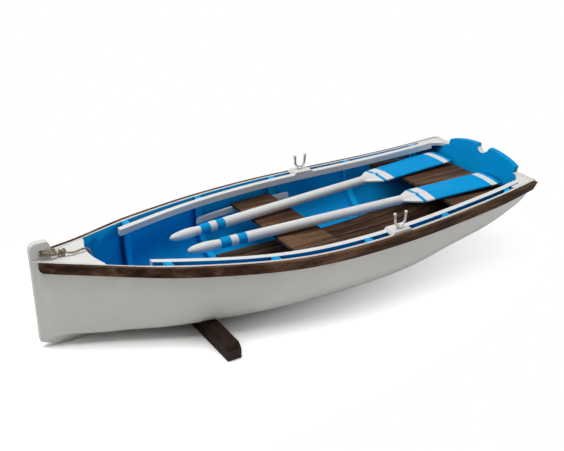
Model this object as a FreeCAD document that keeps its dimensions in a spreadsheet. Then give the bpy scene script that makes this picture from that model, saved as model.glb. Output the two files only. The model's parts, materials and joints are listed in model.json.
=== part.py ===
import FreeCAD, Part
import math
import os
import re

import Sketcher
from FreeCAD import Placement, Rotation, Vector

# Wooden scale model of an open rowing boat, on its keel and a cross bar.
# +X is the bow, +Y is port, +Z is up, and the keel stands on the floor at z = 0.

doc = FreeCAD.newDocument("RowingBoat")
sheet = doc.addObject("Spreadsheet::Sheet", "Sizes")
sizes = {}
rows_used = [0]


def size(alias, value, meaning):
    """Write one driving size to the sheet under its alias."""
    rows_used[0] += 1
    row = rows_used[0]
    sheet.set(f"A{row}", alias)
    sheet.set(f"B{row}", str(value))
    sheet.set(f"C{row}", meaning)
    sheet.setAlias(f"B{row}", alias)
    sizes[alias] = float(value)
    return sizes[alias]


# Hull
boat_length = size("boat_length", 250, "stem front to the transom's outer top edge")
half_beam = size("half_beam", 46.1, "widest half-breadth of the planking")
side_height = size("side_height", 34.5, "sheer above the floor amidships")
plank = size("plank", 1.2, "planking thickness")
keel_width = size("keel_width", 3.2, "keel, deadwood and stem thickness")
keel_depth = size("keel_depth", 3.0, "keel below the deadwood")
rabbet_setback = size("rabbet_setback", 3.0, "stem front to the planks' forward ends")
forefoot_rise = size("forefoot_rise", 3.4, "keel line's rise at the stem")
forefoot_length = size("forefoot_length", 19, "length of the rising forefoot")
overrun = size("overrun", 12, "how far cutting tools pass the work")

# Stem
stem_depth = size("stem_depth", 8.8, "stem head, fore and aft")
stem_height = size("stem_height", 49.4, "stem head above the floor")
stem_round = size("stem_round", 3.4, "radius of the head's forward corner")
stem_hole_radius = size("stem_hole_radius", 1.45, "hole for the painter")
stem_hole_setback = size("stem_hole_setback", 4.9, "stem front to the hole's centre")
stem_hole_height = size("stem_hole_height", 44.6, "hole's centre above the floor")
apron_depth = size("apron_depth", 8.0, "apron behind the rabbet, fore and aft")

# Transom
transom_board = size("transom_board", 3.0, "transom thickness, fore and aft")
transom_rake = size("transom_rake", 17, "degrees that the transom leans aft")
crown_half_width = size("crown_half_width", 25.2, "half-width of the raised crown")
crown_corner_rise = size("crown_corner_rise", 2.8, "crown's corners above the sheer")
crown_rise = size("crown_rise", 6.4, "crown's centre above the sheer")
notch_radius = size("notch_radius", 4.5, "radius of the sculling notch")
notch_depth = size("notch_depth", 3.6, "depth of the sculling notch")

# Ribs, inwales and rails
rib_width = size("rib_width", 3.2, "rib, fore and aft")
rib_depth_fore = size("rib_depth_fore", 4.2, "rib, athwart, at the bow")
rib_depth_aft = size("rib_depth_aft", 2.1, "rib, athwart, at the stern")
inwale_width = size("inwale_width", 3.0, "inwale, athwart")
inwale_height = size("inwale_height", 3.2, "inwale depth")
inwale_rise_aft = size("inwale_rise_aft", 0.5, "inwale's top above the sheer at the stern")
inwale_setback = size("inwale_setback", 45.8, "stem front to the inwales' forward ends")
inwale_end = size("inwale_end", 240.6, "stem front to the inwales' after ends")
rail_width = size("rail_width", 2.0, "rubbing rail, athwart")
rail_height = size("rail_height", 4.4, "rubbing rail depth")
rail_drop_aft = size("rail_drop_aft", 0.6, "rail's top below the sheer at the stern")
rail_setback = size("rail_setback", 2.5, "stem front to the rails' forward ends")

# Quarter knees
knee_thickness = size("knee_thickness", 1.6, "quarter knee plate")
knee_setback = size("knee_setback", 235.2, "stem front to the knees' forward ends")
knee_toe = size("knee_toe", 26.6, "knee's toe on the transom, off the middle")
knee_hollow = size("knee_hollow", 1.0, "hollow of the knee's free edge")

# Breasthook, risers, thwart and stern seat
hook_thickness = size("hook_thickness", 1.6, "breasthook plate")
hook_side_setback = size("hook_side_setback", 27.5, "stem front to the plate's wings")
hook_centre_setback = size("hook_centre_setback", 24.8, "stem front to the plate's throat")
hook_shoulder = size("hook_shoulder", 8.0, "off the middle, where the wings' edge turns")
riser_width = size("riser_width", 1.6, "riser, athwart")
riser_height = size("riser_height", 2.8, "riser depth")
riser_setback = size("riser_setback", 92.5, "stem front to the risers' forward ends")
riser_length = size("riser_length", 57, "length of the risers")
riser_nose = size("riser_nose", 1.5, "length of the taper at a riser's forward end")
thwart_top = size("thwart_top", 26.7, "top of the thwart above the floor")
thwart_thickness = size("thwart_thickness", 1.6, "thwart board")
thwart_setback = size("thwart_setback", 114.8, "stem front to the thwart's forward face")
thwart_depth = size("thwart_depth", 23.6, "thwart, fore and aft")
seat_top = size("seat_top", 30.5, "top of the stern seat above the floor")
seat_thickness = size("seat_thickness", 1.6, "stern seat board")
seat_side_setback = size("seat_side_setback", 202.5, "stem front to the seat's wings")
seat_centre_setback = size("seat_centre_setback", 207.5, "stem front to the seat's throat")

# Floorboards
board_width = size("board_width", 6.6, "one floorboard, athwart")
board_gap = size("board_gap", 0.7, "gap between floorboards")
board_thickness = size("board_thickness", 1.1, "floorboard thickness")
board_setback = size("board_setback", 96.0, "stem front to the boards' forward ends")
board_length = size("board_length", 135, "length of the floorboards")

# Rowlocks and their blocks
rowlock_setback = size("rowlock_setback", 158.5, "stem front to the rowlock pins")
block_length = size("block_length", 11.5, "rowlock block, fore and aft")
block_height = size("block_height", 7.0, "rowlock block depth")
block_rise = size("block_rise", 1.4, "block's top above the sheer")
block_slope = size("block_slope", 1.0, "run of the slope at each end of the pad")
pad_depth = size("pad_depth", 1.6, "depth of the block's pad over inwale and plank edge")
pin_radius = size("pin_radius", 0.7, "rowlock pin")
pin_length = size("pin_length", 5.5, "pin below the collar")
pin_clearance = size("pin_clearance", 0.06, "running clearance round the pin")
collar_radius = size("collar_radius", 1.35, "rowlock's collar")
collar_height = size("collar_height", 1.0, "height of the collar")
collar_gap = size("collar_gap", 0.08, "collar above its block")
horn_radius = size("horn_radius", 0.65, "rowlock's round section")
horn_inner = size("horn_inner", 2.2, "inside radius of the rowlock's crutch")
horn_height = size("horn_height", 3.6, "straight part of the horns")
horn_flare = size("horn_flare", 0.3, "how far the horns open at their tips")
horn_ball = size("horn_ball", 0.85, "ball on a horn's tip")
horn_seat = size("horn_seat", 0.2, "crutch's centre line above the collar")

# Oars
oar_length = size("oar_length", 173.5, "whole oar")
shaft_radius = size("shaft_radius", 2.6, "oar shaft")
shaft_end_radius = size("shaft_end_radius", 2.3, "shaft where the blade's flare starts")
grip_length = size("grip_length", 15.9, "handle")
grip_radius = size("grip_radius", 2.45, "handle at its thickest")
grip_neck_radius = size("grip_neck_radius", 2.05, "handle's neck")
grip_end_radius = size("grip_end_radius", 0.6, "flat end of the handle")
shaft_shoulder = size("shaft_shoulder", 1.0, "shaft's shoulder behind the neck")
blade_length = size("blade_length", 59, "blade from the flare's start to the tip")
blade_flare = size("blade_flare", 10, "length of the flare")
blade_fade = size("blade_fade", 22, "how far the shaft's end fades into the blade")
blade_width = size("blade_width", 17.2, "blade at its tip")
blade_root_width = size("blade_root_width", 16.2, "blade at the end of its flare")
blade_thickness = size("blade_thickness", 2.2, "blade in the middle")
blade_edge = size("blade_edge", 0.8, "blade at its edges")
rest_clearance = size("rest_clearance", 0.3, "oars above what they lie on")
port_grip_offset = size("port_grip_offset", 1.2, "port oar's handle, to port of the middle")
port_tip_offset = size("port_tip_offset", 13.4, "port oar's tip, to port of the middle")
port_tip_setback = size("port_tip_setback", 243.7, "stem front to the port oar's tip")
starboard_grip_offset = size("starboard_grip_offset", 14.6, "starboard oar's handle")
starboard_tip_offset = size("starboard_tip_offset", 25.2, "starboard oar's tip")
starboard_tip_setback = size("starboard_tip_setback", 242.2, "stem front to the starboard oar's tip")

# Stand bar
bar_width = size("bar_width", 6.6, "cross bar, fore and aft")
bar_height = size("bar_height", 7.0, "cross bar above the floor")
bar_half_length = size("bar_half_length", 51.5, "half the cross bar")
bar_setback = size("bar_setback", 63.9, "stem front to the bar's forward face")
bar_chamfer = size("bar_chamfer", 2.2, "chamfer of the bar's upper end corners")
lap_depth = size("lap_depth", 1.4, "bar left under the keel where they are halved")

# Painter
cord_radius = size("cord_radius", 0.55, "painter's section")
knot_length = size("knot_length", 5.2, "knot, fore and aft")
knot_width = size("knot_width", 3.6, "knot, athwart")
knot_setback = size("knot_setback", 13.4, "stem front to the knot's middle")
knot_offset = size("knot_offset", 0.6, "knot's middle, to port")
knot_height = size("knot_height", 42.7, "knot's middle above the floor")
loop_spread = size("loop_spread", 0.6, "each turn of the loop above and below the middle one")

doc.recompute()

# The origin lies midway between the stem's front and the crown's aft edge.
rake_run = math.tan(math.radians(transom_rake))
bow = (boat_length + crown_rise * rake_run) / 2


def along(setback):
    """X of a place that lies the given distance aft of the stem's front."""
    return bow - setback


# Lines of the hull. Each station has its distance aft as a share of the boat's length and the
# section's points as shares of half_beam and side_height, from the keel up to the sheer.
section_shares = [
    (0.0200, [(0.040, 0.116), (0.068, 0.185), (0.084, 0.350), (0.094, 0.58), (0.100, 0.86), (0.103, 1.211)]),
    (0.0800, [(0.040, 0.106), (0.140, 0.118), (0.202, 0.190), (0.232, 0.42), (0.249, 0.75), (0.254, 1.162)]),
    (0.1800, [(0.040, 0.108), (0.255, 0.120), (0.416, 0.164), (0.492, 0.34), (0.525, 0.62), (0.528, 1.100)]),
    (0.3000, [(0.040, 0.112), (0.390, 0.125), (0.597, 0.162), (0.718, 0.32), (0.775, 0.56), (0.772, 1.045)]),
    (0.4400, [(0.040, 0.110), (0.500, 0.125), (0.716, 0.168), (0.850, 0.32), (0.930, 0.54), (0.956, 1.002)]),
    (0.5600, [(0.040, 0.110), (0.500, 0.122), (0.720, 0.160), (0.880, 0.32), (0.972, 0.55), (1.000, 0.999)]),
    (0.6800, [(0.040, 0.118), (0.480, 0.140), (0.716, 0.200), (0.870, 0.36), (0.955, 0.61), (0.980, 1.008)]),
    (0.8000, [(0.040, 0.185), (0.400, 0.215), (0.630, 0.295), (0.800, 0.45), (0.898, 0.67), (0.926, 1.035)]),
    (0.9000, [(0.040, 0.285), (0.330, 0.310), (0.565, 0.378), (0.735, 0.53), (0.842, 0.75), (0.882, 1.075)]),
    (0.9640, [(0.040, 0.345), (0.270, 0.360), (0.490, 0.425), (0.660, 0.60), (0.782, 0.82), (0.850, 1.115)]),
    (1.0160, [(0.040, 0.400), (0.220, 0.415), (0.410, 0.475), (0.590, 0.64), (0.738, 0.87), (0.826, 1.150)]),
]
# The first station is the stem's own side, so the planks run out flush with it.
stem_station_shares = [0.104, 0.200, 0.370, 0.600, 0.880, 1.227]
# How far a section goes on above the sheer before it is trimmed, as a share of side_height.
topside_share = 0.14

half_keel = keel_width / 2
stem_station = [(half_keel, side_height * up) for up in stem_station_shares]
outlines = [(along(0), stem_station)]
for length_share, point_shares in section_shares:
    outlines.append((along(boat_length * length_share),
                     [(half_beam * across, side_height * up) for across, up in point_shares]))

stations = []
for x, outline in outlines:
    (y_low, z_low), (y_top, z_top) = outline[-2:]
    reach = side_height * topside_share / (z_top - z_low)
    extra = (y_top + (y_top - y_low) * reach, z_top + (z_top - z_low) * reach)
    stations.append((x, outline + [extra]))


def between(table, x):
    """Read a smooth table of (x, value) pairs, x falling, at any x."""
    pairs = sorted(table)
    curve = Part.BSplineCurve()
    curve.interpolate([Vector(a, 0, b) for a, b in pairs])
    box_low = -boat_length * 2
    cut = Part.LineSegment(Vector(x, 0, box_low), Vector(x, 0, -box_low))
    hit = curve.intersect(cut)
    return hit[0].Z


sheer_heights = [(x, outline[-2][1]) for x, outline in stations]
sheer_breadths = [(x, outline[-2][0]) for x, outline in stations]
garboard_heights = [(x, outline[0][1]) for x, outline in stations]


def sheer_height(setback):
    return between(sheer_heights, along(setback))


def sheer_breadth(setback):
    return between(sheer_breadths, along(setback))


def rib_depth(setback):
    """Depth of the ribs at a place: they are deeper at the bow than at the stern."""
    return rib_depth_fore + (rib_depth_aft - rib_depth_fore) * setback / boat_length


def inset_outline(outline, depth):
    """Move a section's points inwards, square to the section, by the given depth."""
    moved = []
    last = len(outline) - 1
    for index, (y, z) in enumerate(outline):
        before = outline[max(index - 1, 0)]
        after = outline[min(index + 1, last)]
        run_y = after[0] - before[0]
        run_z = after[1] - before[1]
        run = math.hypot(run_y, run_z)
        moved.append((max(y - depth * run_z / run, 0), z + depth * run_y / run))
    moved[0] = (outline[0][0] * (1 - depth / (depth + half_beam)), outline[0][1] + depth)
    return moved


def section_wire(x, outline):
    """One closed section: both sides as curves, with a flat keel line and a flat top."""
    port = [Vector(x, y, z) for y, z in outline]
    starboard = [Vector(x, -y, z) for y, z in outline]
    port_side = Part.BSplineCurve()
    port_side.interpolate(port)
    starboard_side = Part.BSplineCurve()
    starboard_side.interpolate(starboard[::-1])
    edges = [
        port_side.toShape(),
        Part.LineSegment(port[-1], starboard[-1]).toShape(),
        starboard_side.toShape(),
        Part.LineSegment(starboard[0], port[0]).toShape(),
    ]
    return Part.Wire(edges)


def hull_solid(depth, on_ribs=False):
    """The hull's form as one solid, its skin moved inwards by depth, and by the ribs' depth too.

    A station at the bow that is too narrow for the depth is left out.
    """
    wires = []
    for x, outline in stations:
        here = depth + rib_depth(bow - x) if on_ribs else depth
        if here <= 0 or min(y for y, z in outline[1:]) > here + half_keel / 3:
            wires.append(section_wire(x, inset_outline(outline, here) if here else outline))
    return Part.makeLoft(wires, True, False)


def prism(points, direction):
    """A straight prism of a closed outline of points."""
    return Part.Face(Part.makePolygon(points + points[:1])).extrude(direction)


def slab(front_setback, back_setback, low, high, half_width=None):
    """A box across the boat between two setbacks and two heights."""
    half = half_width or half_beam + overrun
    corner = Vector(along(back_setback), -half, low)
    return Part.makeBox(back_setback - front_setback, 2 * half, high - low, corner)


def height_curve(table, lift, lift_aft):
    """A curve in the middle plane through a table of heights, lifted more and more towards the stern."""
    pairs = sorted(table)
    curve = Part.BSplineCurve()
    curve.interpolate([Vector(x, 0, z + lift + lift_aft * ((bow - x) / boat_length) ** 2) for x, z in pairs])
    return curve


def band_under(table, top_lift, low_lift, half_width, lift_aft=0):
    """The space between two lifts of a height curve, right across the boat."""
    top = height_curve(table, top_lift, lift_aft)
    low = height_curve(table, low_lift, lift_aft)
    first = Part.LineSegment(low.StartPoint, top.StartPoint).toShape()
    final = Part.LineSegment(low.EndPoint, top.EndPoint).toShape()
    face = Part.Face(Part.Wire(Part.__sortEdges__([top.toShape(), final, low.toShape(), first])))
    solid = face.extrude(Vector(0, 2 * half_width, 0))
    solid.translate(Vector(0, -half_width, 0))
    return solid


def one_side(shape, side):
    """Keep the half of a shape that lies on one side of the middle plane: 1 is port."""
    wide = half_beam + overrun
    corner = Vector(-boat_length, 0 if side > 0 else -wide, -overrun)
    return shape.common(Part.makeBox(2 * boat_length, wide, stem_height + 2 * overrun, corner))


def largest(shape):
    """The largest solid of a shape."""
    return max(shape.Solids, key=lambda solid: solid.Volume)


sub_parts = []


def keep(obj, label):
    """Name a sub-part; its label is also its file's name."""
    obj.Label = label
    sub_parts.append(obj)
    return obj


def formed(label, shape):
    """A sub-part whose form comes from the hull's lines."""
    obj = doc.addObject("Part::Feature", label)
    obj.Shape = shape
    obj.Placement = Placement()
    return keep(obj, label)


# Places along the boat, written on the sheet's values: a setback is taken from the stem's front
bow_place = "(boat_length + crown_rise * tan(transom_rake * 1 deg)) / 2"
low_place = "-overrun"
high_place = "stem_height + 2 * overrun"
full_half = "half_beam + overrun"
side_names = {1: "port", -1: "starboard"}


def cells(words):
    """An expression in which each size's name stands for its cell on the sheet."""
    return re.sub("[a-z_]+", lambda word: f"Sizes.{word.group()}" if word.group() in sizes else word.group(), words)


def bind(obj, ties):
    """Tie an object's sizes and place to expressions on the sheet's values."""
    for path, words in ties.items():
        obj.setExpression(path, cells(words))
    return obj


def box_of(name, front, back, low, high, half=full_half):
    """A box right across the boat, between two setbacks and two heights."""
    return bind(doc.addObject("Part::Box", name), {
        "Length": f"({back}) - ({front})",
        "Width": f"2 * ({half})",
        "Height": f"({high}) - ({low})",
        "Placement.Base.x": f"{bow_place} - ({back})",
        "Placement.Base.y": f"-({half})",
        "Placement.Base.z": low,
    })


def form(name, shape):
    """A form drawn from the hull's lines, which sub-parts are cut from."""
    obj = doc.addObject("Part::Feature", name)
    obj.Shape = shape
    return obj


def common_of(name, first, *others):
    """What a first object shares with each of the others."""
    for number, other in enumerate(others):
        step = doc.addObject("Part::Common", f"{name}Common{number + 1}")
        step.Base = first
        step.Tool = other
        step.Refine = False
        first = step
    return first


def cut_of(name, base, *tools):
    """What is left of a base after each of the tools is taken away."""
    for number, tool in enumerate(tools):
        step = doc.addObject("Part::Cut", f"{name}Cut{number + 1}")
        step.Base = base
        step.Tool = tool
        step.Refine = False
        base = step
    return base


halves = {}
for side, name in side_names.items():
    halves[side] = bind(doc.addObject("Part::Box", f"Half_{name}"), {
        "Length": "2 * boat_length",
        "Width": full_half,
        "Height": f"{high_place}",
        "Placement.Base.x": "-boat_length",
        "Placement.Base.y": "0" if side > 0 else f"-({full_half})",
        "Placement.Base.z": low_place,
    })

outer = hull_solid(0)
inner = hull_solid(plank)
behind_ribs = hull_solid(plank, on_ribs=True)
behind_inwales = hull_solid(plank + inwale_width, on_ribs=True)

outer_form = form("OuterForm", outer)
inner_form = form("InnerForm", inner)

lowest = -overrun
highest = stem_height + 2 * overrun
above_sheer = band_under(sheer_heights, highest, 0, half_beam + overrun)

# The transom's planes: the outer face passes through the sheer at the boat's full length.
stern_sheer = sheer_height(boat_length)


def transom_x(height, ahead):
    """X of the transom's outer face at a height, or of a plane the given distance ahead."""
    return along(boat_length) + (stern_sheer - height) * rake_run + ahead


def raked(ahead, behind):
    """A leaning slab between two distances ahead of the transom's outer face."""
    half = half_beam + overrun
    points = [
        Vector(transom_x(lowest, ahead), -half, lowest),
        Vector(transom_x(highest, ahead), -half, highest),
        Vector(transom_x(highest, behind), -half, highest),
        Vector(transom_x(lowest, behind), -half, lowest),
    ]
    return prism(points, Vector(0, 2 * half, 0))


abaft = raked(0, -4 * overrun)
abaft_form = form("AbaftHull", abaft)
abaft_board = raked(transom_board, -4 * overrun)

# Keel and deadwood stand between the planks; the keel's forefoot rises to the stem.
rabbet_top = band_under(garboard_heights, plank, lowest - side_height, half_keel)
middle = slab(0, boat_length, 0, stem_height, half_keel).cut(abaft)


# Where the forefoot's curve is nearly level, as shares of its length and rise
forefoot_run_share = 0.4
forefoot_rise_share = 0.24


def forefoot_tool():
    """What is cut away under the forefoot, right across."""
    half = half_beam + overrun
    front = Vector(along(0), -half, forefoot_rise)
    low = Vector(along(forefoot_length * forefoot_run_share), -half, forefoot_rise * forefoot_rise_share)
    back = Vector(along(forefoot_length), -half, 0)
    corner = Vector(along(0), -half, 0)
    curve = Part.BSplineCurve()
    curve.interpolate([front, low, back])
    edges = [curve.toShape(), Part.LineSegment(back, corner).toShape(),
             Part.LineSegment(corner, front).toShape()]
    return Part.Face(Part.Wire(edges)).extrude(Vector(0, 2 * half, 0))


forefoot_cut = forefoot_tool()
forefoot_form = form("ForefootTool", forefoot_cut)
bar_slot = box_of("BarSlot", "bar_setback", "bar_setback + bar_width", "0", "lap_depth")
centre_line = middle.common(rabbet_top)
centre_form = form("CentreLine", centre_line)
keel_stock = box_of("KeelStock", "stem_depth", "boat_length", "0", "keel_depth")
keep(cut_of("Keel", common_of("Keel", centre_form, keel_stock), forefoot_form, bar_slot), "keel")
deadwood_stock = box_of("DeadwoodStock", "stem_depth", "boat_length", "keel_depth", "stem_height")
keep(common_of("Deadwood", centre_form, deadwood_stock), "deadwood")


# Planking, split along the middle where the keel stands
def planking(side):
    shell = outer.cut(inner).cut(above_sheer).cut(abaft).cut(slab(0, rabbet_setback, lowest, highest))
    shell = shell.cut(slab(0, boat_length + overrun, lowest, stem_height, half_keel))
    return largest(one_side(shell, side))


plankings = {}
for side, name in side_names.items():
    plankings[name] = planking(side)
    formed(f"planking_{name}", plankings[name])


# Stem, with a rounded head and the painter's hole
def build_stem():
    half = keel_width / 2
    front = along(0)
    back = along(stem_depth)
    top = stem_height
    foot = 0
    points = [
        Vector(front, -half, foot),
        Vector(front, -half, top - stem_round),
        Vector(along(stem_round), -half, top),
        Vector(along(stem_depth - stem_round / 2), -half, top),
        Vector(back, -half, top - stem_round),
        Vector(back, -half, foot),
    ]
    slope = math.sqrt(0.5)
    front_mid = Vector(along(stem_round * (1 - slope)), -half, top - stem_round * (1 - slope))
    back_mid = Vector(along(stem_depth - stem_round / 2 * (1 - slope)), -half,
                      top - stem_round * (1 - slope))
    edges = [
        Part.LineSegment(points[0], points[1]).toShape(),
        Part.Arc(points[1], front_mid, points[2]).toShape(),
        Part.LineSegment(points[2], points[3]).toShape(),
        Part.Arc(points[3], back_mid, points[4]).toShape(),
        Part.LineSegment(points[4], points[5]).toShape(),
        Part.LineSegment(points[5], points[0]).toShape(),
    ]
    post = Part.Face(Part.Wire(edges)).extrude(Vector(0, keel_width, 0))
    hole = Part.makeCylinder(stem_hole_radius, 2 * keel_width,
                             Vector(along(stem_hole_setback), -keel_width, stem_hole_height),
                             Vector(0, 1, 0))
    cheeks = outer.common(slab(0, rabbet_setback, lowest, highest)).cut(above_sheer)
    return post.fuse(cheeks).removeSplitter().cut(forefoot_cut).cut(hole)


stem_post = formed("stem_post", build_stem())

hook_band = form("HookBand", band_under(sheer_heights, 0, -hook_thickness, half_beam))
under_hook = form("UnderHook", band_under(sheer_heights, -hook_thickness, -highest, half_beam))
apron_stock = box_of("ApronStock", "rabbet_setback", "rabbet_setback + apron_depth", low_place, "stem_height")
apron = common_of("Apron", inner_form, apron_stock, under_hook)
keep(cut_of("Apron", apron, stem_post, centre_form), "apron")


# Breasthook: a plate with wings and a shallow throat. Its free edge goes from the middle out to the
# wings, as shares of the shoulder's distance off the middle and of the wings' reach aft.
hook_edge_shares = [(0, 0), (0.5, 0.10), (1.0, 0.42), (1.6, 1)]


def hook_plan():
    """The plate's plan as a tall prism, wider than the boat."""
    reach = hook_side_setback - hook_centre_setback
    port = [Vector(along(hook_centre_setback + reach * aft), hook_shoulder * out, lowest)
            for out, aft in hook_edge_shares]
    starboard = [Vector(point.x, -point.y, lowest) for point in port[:0:-1]]
    free_edge = Part.BSplineCurve()
    free_edge.interpolate(starboard + port)
    wing = half_beam
    corners = [port[-1], Vector(port[-1].x, wing, lowest), Vector(along(0), wing, lowest),
               Vector(along(0), -wing, lowest), Vector(port[-1].x, -wing, lowest), starboard[0]]
    edges = [free_edge.toShape()]
    edges += [Part.LineSegment(a, b).toShape() for a, b in zip(corners, corners[1:])]
    return Part.Face(Part.Wire(edges)).extrude(Vector(0, 0, highest - lowest))


bow_end = box_of("BowEnd", "0", "rabbet_setback", low_place, high_place)
hook = common_of("Breasthook", inner_form, hook_band, form("HookPlan", hook_plan()))
keep(cut_of("Breasthook", hook, stem_post, bow_end), "breasthook")


# Transom: the board fits between the planks, and its crown stands above the sheer. The crown's
# curve is full at its shoulders, given as shares of the crown's half-width and rise.
crown_shoulder_share = 0.55
crown_shoulder_drop_share = 0.13


def build_transom():
    board = raked(transom_board, 0)
    lower = inner.common(board).cut(above_sheer)
    lower = lower.cut(slab(0, boat_length + overrun, lowest, between(garboard_heights,
                      along(boat_length * section_shares[-2][0])) + plank, half_keel))
    corner = stern_sheer + crown_corner_rise
    top = stern_sheer + crown_rise
    reach = along(boat_length + 2 * overrun)
    base = stern_sheer - crown_rise
    shoulder = crown_half_width * crown_shoulder_share
    shoulder_top = top - crown_rise * crown_shoulder_drop_share
    curve = Part.BSplineCurve()
    curve.interpolate([
        Vector(reach, -crown_half_width, corner),
        Vector(reach, -shoulder, shoulder_top),
        Vector(reach, 0, top),
        Vector(reach, shoulder, shoulder_top),
        Vector(reach, crown_half_width, corner),
    ])
    low_port = Vector(reach, crown_half_width, base)
    low_starboard = Vector(reach, -crown_half_width, base)
    edges = [
        curve.toShape(),
        Part.LineSegment(Vector(reach, crown_half_width, corner), low_port).toShape(),
        Part.LineSegment(low_port, low_starboard).toShape(),
        Part.LineSegment(low_starboard, Vector(reach, -crown_half_width, corner)).toShape(),
    ]
    crown = Part.Face(Part.Wire(edges)).extrude(Vector(4 * overrun, 0, 0)).common(board)
    notch_centre = top - notch_depth + notch_radius
    notch = Part.makeCylinder(notch_radius, 6 * overrun, Vector(reach, 0, notch_centre),
                              Vector(1, 0, 0))
    return largest(lower.fuse(crown).cut(notch).removeSplitter())


formed("transom", build_transom())

# Ribs bend round inside the planks, and their heads stop level with the sheer
rib_setback_shares = {"bow": 0.206, "fore": 0.382, "middle": 0.5652, "aft": 0.752, "stern": 0.924}
rib_ring = inner.cut(behind_ribs).cut(above_sheer)
for name, share in rib_setback_shares.items():
    setback = boat_length * share
    rib = rib_ring.common(slab(setback - rib_width / 2, setback + rib_width / 2, lowest, highest))
    rib = rib.cut(centre_line)
    formed(f"rib_{name}", largest(rib))

# Quarter knees: plates between the planks and the transom, with a hollow free edge
knee_wing = sheer_breadth(inwale_end) - plank - rib_depth(inwale_end) - inwale_width
knee_band = band_under(sheer_heights, 0, -knee_thickness, half_beam)


def knee_plan(side):
    """The knee's plan as a tall prism that reaches out past the planks and aft past the transom."""
    wing = Vector(along(inwale_end), side * knee_wing, lowest)
    toe = Vector(transom_x(stern_sheer, transom_board), side * knee_toe, lowest)
    chord = toe - wing
    out = Vector(-chord.y, chord.x, 0).normalize() * -side
    hollow = (wing + toe) / 2 + out * knee_hollow
    beyond = along(boat_length + overrun)
    wide = side * (half_beam + overrun)
    corners = [toe, Vector(beyond, side * knee_toe, lowest), Vector(beyond, wide, lowest),
               Vector(along(knee_setback), wide, lowest),
               Vector(along(knee_setback), wing.y, lowest), wing]
    edges = [Part.Arc(wing, hollow, toe).toShape()]
    edges += [Part.LineSegment(a, b).toShape() for a, b in zip(corners, corners[1:])]
    return Part.Face(Part.Wire(edges)).extrude(Vector(0, 0, highest - lowest))


# Inwales run along the ribs' heads, and their after ends lie in a notch of the quarter knees
inwale_band = form("InwaleBand", band_under(sheer_heights, 0, -inwale_height, half_beam, inwale_rise_aft))
inwale_run = box_of("InwaleRun", "inwale_setback", "inwale_end", low_place, high_place)
inwale_skin = form("InwaleSkin", behind_ribs.cut(behind_inwales))
inwale_ring = common_of("InwaleRing", inwale_skin, inwale_band, inwale_run)

# Rubbing rails lie against the planks' outer faces, a little below the sheer towards the stern
rail_band = form("RailBand", band_under(sheer_heights, 0, -rail_height, half_beam + overrun, -rail_drop_aft))
rail_skin = cut_of("RailSkin", form("RailOutside", hull_solid(-rail_width)), outer_form)
rail_bow = box_of("RailBow", "0", "rail_setback", low_place, high_place)
rail_ring = cut_of("RailRing", common_of("RailRing", rail_skin, rail_band), abaft_form, rail_bow)
inwale_parts = {}
for side, name in side_names.items():
    inwale_parts[name] = keep(common_of(f"Inwale_{name}_", inwale_ring, halves[side]), f"inwale_{name}")
    keep(common_of(f"Rail_{name}_", rail_ring, halves[side]), f"rub_rail_{name}")
doc.recompute()

inwales = {}
for side, name in side_names.items():
    inwales[name] = inwale_parts[name].Shape
    knee = inner.common(knee_band).common(knee_plan(side)).cut(abaft_board)
    formed(f"quarter_knee_{name}", largest(knee.cut(inwales[name])))


def sketch_in(body, role, name):
    """A sketch on one of the body's own origin planes."""
    plane = next(item for item in body.Origin.OriginFeatures if item.Role == role)
    sketch = body.newObject("Sketcher::SketchObject", name)
    sketch.AttachmentSupport = (plane, "")
    sketch.MapMode = "FlatFace"
    return sketch


def trace(sketch, corners):
    """A closed outline of straight lines, with each corner's place tied to the sheet."""
    spots = [tuple(float(sheet.evalExpression(cells(words))) for words in corner) for corner in corners]
    last = len(corners) - 1
    for index, (across, up) in enumerate(spots):
        end = spots[0 if index == last else index + 1]
        sketch.addGeometry(Part.LineSegment(Vector(across, up, 0), Vector(*end, 0)))
    for index, corner in enumerate(corners):
        sketch.addConstraint(Sketcher.Constraint("Coincident", index, 2, 0 if index == last else index + 1, 1))
    for index, corner in enumerate(corners):
        for kind, words, value in zip(("DistanceX", "DistanceY"), corner, spots[index]):
            number = sketch.addConstraint(Sketcher.Constraint(kind, -1, 1, index, 1, value))
            sketch.setExpression(f"Constraints[{number}]", cells(words))


def body_of(name, role, corners, length):
    """A body with one outline, padded to both sides of its plane."""
    body = doc.addObject("PartDesign::Body", name)
    sketch = sketch_in(body, role, f"{name}Outline")
    trace(sketch, corners)
    pad = body.newObject("PartDesign::Pad", f"{name}Pad")
    pad.Profile = sketch
    pad.Midplane = True
    pad.setExpression("Length", cells(length))
    return body


# Risers carry the thwart's ends and taper at their forward ends
riser_top = thwart_top - thwart_thickness
riser_high = "thwart_top - thwart_thickness"
riser_low = f"{riser_high} - riser_height"
riser_run = box_of("RiserRun", "riser_setback", "riser_setback + riser_length", riser_low, riser_high)
riser_front = f"{bow_place} - riser_setback"
riser_taper = body_of("RiserTaper", "XZ_Plane", [
    (riser_front, riser_high), (f"{riser_front} - riser_nose", riser_high), (riser_front, riser_low),
], "2 * half_beam")
riser_skin = form("RiserSkin", behind_ribs.cut(hull_solid(plank + riser_width, on_ribs=True)))
riser_ring = cut_of("RiserRing", common_of("RiserRing", riser_skin, riser_run), riser_taper)
for side, name in side_names.items():
    keep(common_of(f"Riser_{name}_", riser_ring, halves[side]), f"riser_{name}")

# The thwart lies across the risers
thwart_zone = slab(thwart_setback, thwart_setback + thwart_depth, riser_top, thwart_top)
formed("thwart", largest(behind_ribs.common(thwart_zone)))


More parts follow.
